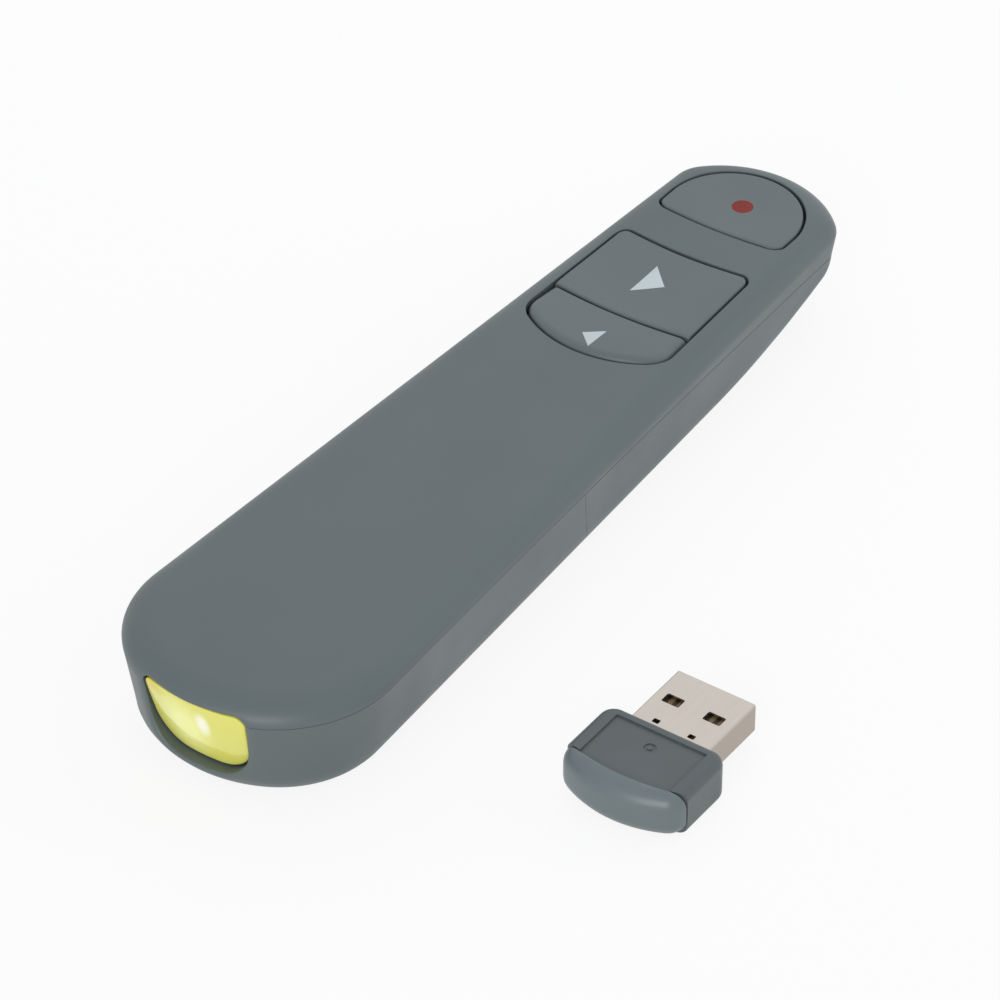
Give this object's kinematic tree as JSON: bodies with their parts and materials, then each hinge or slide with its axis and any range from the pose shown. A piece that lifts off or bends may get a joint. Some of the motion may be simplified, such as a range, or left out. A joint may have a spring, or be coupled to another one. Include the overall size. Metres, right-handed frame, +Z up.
{
  "type": "wireless presentation clicker",
  "caption": "Slim hand-held presentation clicker with a laser key, next and back keys, a tinted tail window and a separate plug-in USB receiver beside it.",
  "frame": {"origin": "on the flat underside, mid-width, 72 mm from the tail end", "axes": "+X from the tail to the laser tip, +Z up, +Y to the left seen from the tail; the receiver lies on the -Y side"},
  "size_m": [0.1397, 0.0758, 0.0171],
  "materials": {
    "shell_grey": "soft-touch satin",
    "door_grey": "soft-touch satin",
    "button_grey": "soft-touch satin",
    "mark_red": "matt",
    "mark_pale": "matt",
    "window_tint": "glossy tinted",
    "clear_guide": "clear",
    "dark_window": "glossy dark",
    "tray_black": "matt",
    "cell_jacket": "satin",
    "spring_steel": "plated",
    "screw_steel": "plated",
    "board_green": "solder mask",
    "switch_black": "matt",
    "shield_tin": "tin plate",
    "chip_black": "matt",
    "barrel_brass": "turned",
    "lens_clear": "clear",
    "light_white": "glossy",
    "receiver_grey": "satin",
    "receiver_cap_grey": "satin",
    "plug_steel": "plated",
    "tongue_white": "matt",
    "contact_gold": "plated"
  },
  "bodies": {
    "casing": {"top_shell": "shell_grey", "bottom_shell": "shell_grey", "battery_tray": "tray_black", "tail_window": "window_tint", "light_guide": "clear_guide", "battery_cell_1": "cell_jacket", "battery_cell_2": "cell_jacket", "plate_tail_right": "spring_steel", "plate_tail_left": "spring_steel", "plate_tip_right": "spring_steel", "plate_tip_left": "spring_steel", "battery_spring_1": "spring_steel", "battery_spring_2": "spring_steel", "case_screw_1": "screw_steel", "case_screw_2": "screw_steel", "case_screw_3": "screw_steel", "case_screw_4": "screw_steel", "tray_screw_1": "screw_steel", "tray_screw_2": "screw_steel", "main_board": "board_green", "laser_switch": "switch_black", "next_switch": "switch_black", "back_switch": "switch_black", "radio_shield": "shield_tin", "processor_chip": "chip_black", "crystal_can": "shield_tin", "power_switch_body": "switch_black", "laser_barrel": "barrel_brass", "laser_diode": "barrel_brass", "laser_lens": "lens_clear", "laser_holder": "tray_black", "laser_window": "dark_window", "tail_light_board": "board_green", "status_light": "light_white"},
    "laser_key": {"laser_button": "button_grey", "laser_mark": "mark_red", "laser_plunger": "tongue_white"},
    "next_key": {"next_button": "button_grey", "next_mark": "mark_pale", "next_plunger": "tongue_white"},
    "back_key": {"back_button": "button_grey", "back_mark": "mark_pale", "back_plunger": "tongue_white"},
    "battery_cover": {"battery_door": "door_grey"},
    "power_knob": {"power_switch_knob": "switch_black"},
    "receiver": {"receiver_housing": "receiver_grey", "receiver_end_cap": "receiver_cap_grey", "usb_shell": "plug_steel", "usb_tongue": "tongue_white", "usb_contact_1": "contact_gold", "usb_contact_2": "contact_gold", "usb_contact_3": "contact_gold", "usb_contact_4": "contact_gold", "receiver_board": "board_green", "receiver_chip": "chip_black"}
  },
  "joints": [
    {"name": "laser_press", "type": "slide", "parent": "casing", "child": "laser_key", "axis": [0, 0, -1], "range_m": [0, 0.0005], "stiffness_N_per_m": 3000, "springref_m": -0.0002},
    {"name": "next_press", "type": "slide", "parent": "casing", "child": "next_key", "axis": [0, 0, -1], "range_m": [0, 0.0005], "stiffness_N_per_m": 3000, "springref_m": -0.0002},
    {"name": "back_press", "type": "slide", "parent": "casing", "child": "back_key", "axis": [0, 0, -1], "range_m": [0, 0.0005], "stiffness_N_per_m": 3000, "springref_m": -0.0002},
    {"name": "battery_door_slide", "type": "slide", "parent": "casing", "child": "battery_cover", "axis": [-1, 0, 0], "range_m": [0, 0.05]},
    {"name": "power_switch_slide", "type": "slide", "parent": "casing", "child": "power_knob", "axis": [1, 0, 0], "range_m": [0, 0.0025]},
    {"name": "receiver_lift", "type": "slide", "parent": "casing", "child": "receiver", "axis": [0, 0, 1], "range_m": [0, 0.03]}
  ]
}
